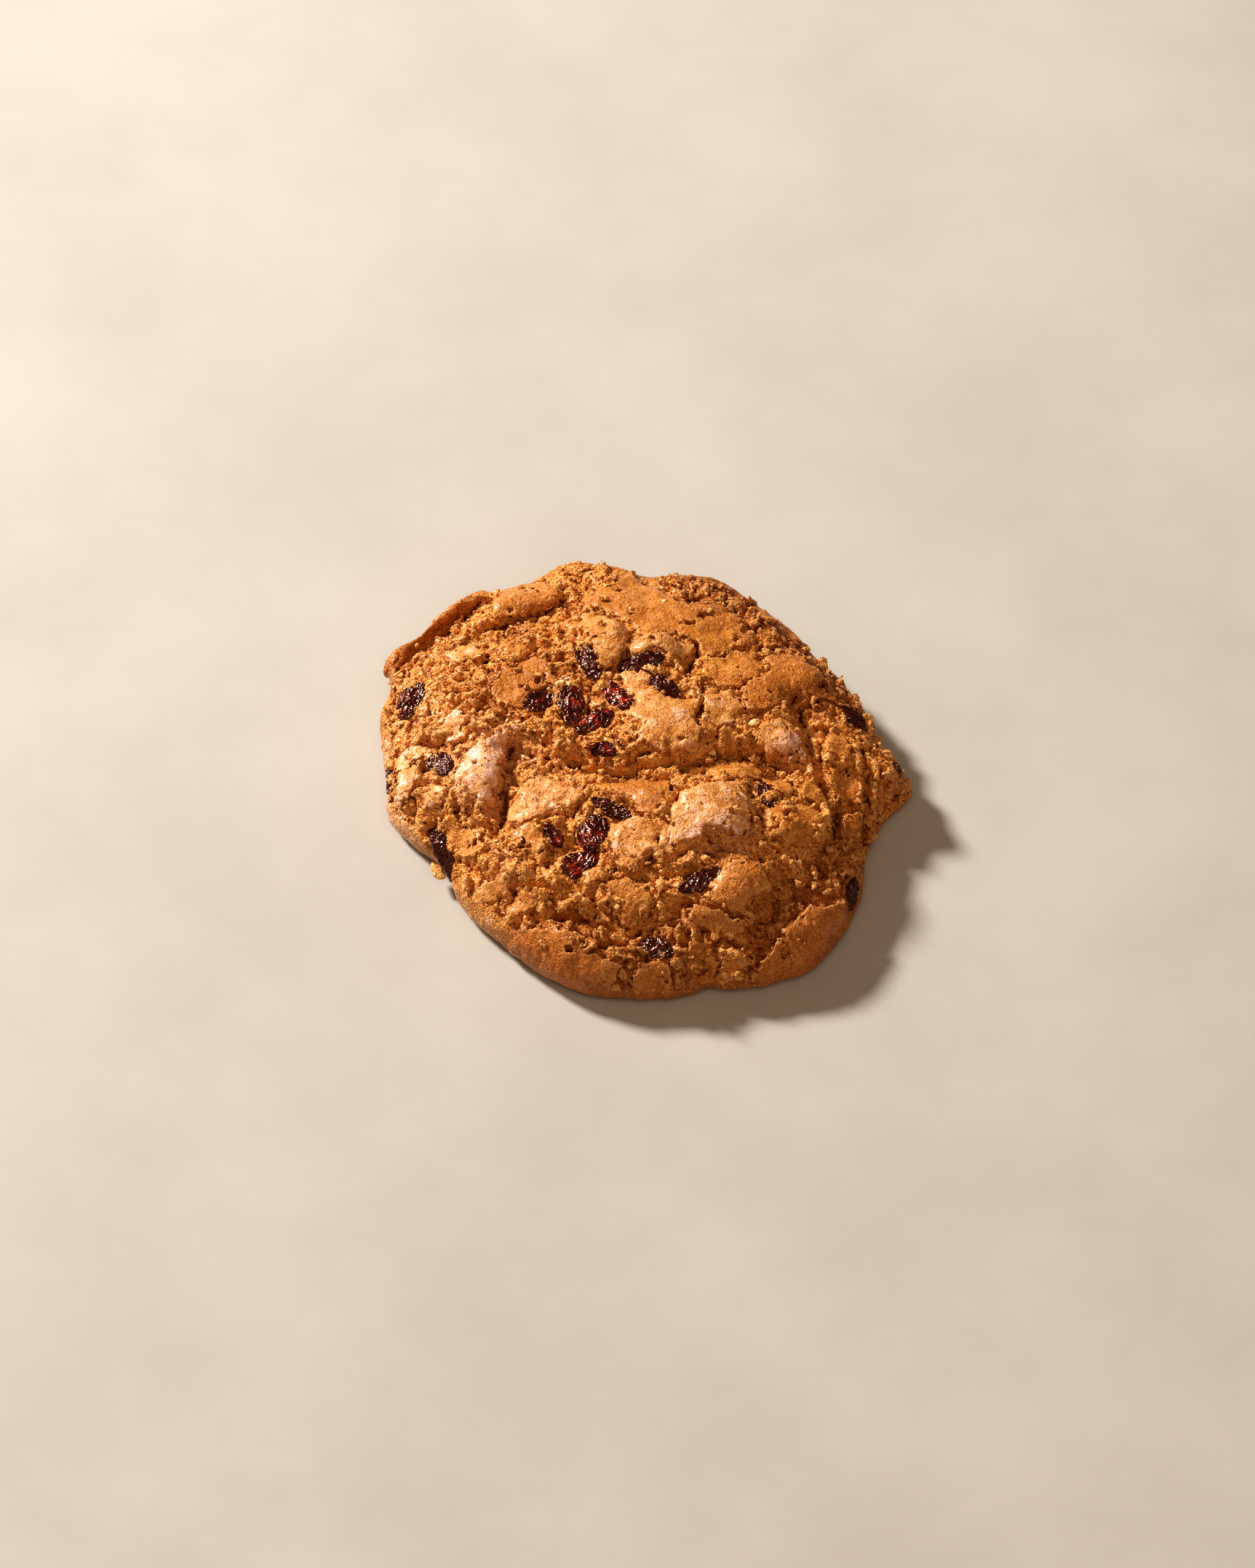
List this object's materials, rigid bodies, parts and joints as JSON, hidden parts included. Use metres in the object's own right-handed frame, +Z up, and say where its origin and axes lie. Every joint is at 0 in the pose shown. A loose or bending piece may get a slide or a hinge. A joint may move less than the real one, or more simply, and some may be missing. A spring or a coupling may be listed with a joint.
{
  "type": "raisin cookie",
  "caption": "Large round crackle-top cookie with raisins, a low uneven dome of golden-brown baked dough on a flat underside, its top torn into smooth crust plates and open crumb.",
  "frame": {"origin": "on the resting plane, under the middle of the cookie's box", "axes": "+Z up out of the domed top, +X to the cookie's right and +Y to its back, as it is seen from the front"},
  "size_m": [0.107, 0.1078, 0.0229],
  "materials": {
    "baked_dough": "baked cookie dough: satin golden-brown crust over open, grainy, orange-brown crumb",
    "raisin": "dark, wrinkled, glossy dried grape"
  },
  "bodies": {
    "root": {"dough": "baked_dough", "raisin_01": "raisin", "raisin_02": "raisin", "raisin_03": "raisin", "raisin_04": "raisin", "raisin_05": "raisin", "raisin_06": "raisin", "raisin_07": "raisin", "raisin_08": "raisin", "raisin_09": "raisin", "raisin_10": "raisin", "raisin_11": "raisin", "raisin_12": "raisin", "raisin_13": "raisin", "raisin_14": "raisin", "raisin_15": "raisin", "raisin_16": "raisin", "raisin_17": "raisin", "raisin_18": "raisin", "raisin_19": "raisin", "raisin_20": "raisin", "raisin_21": "raisin", "raisin_22": "raisin"}
  },
  "joints": []
}
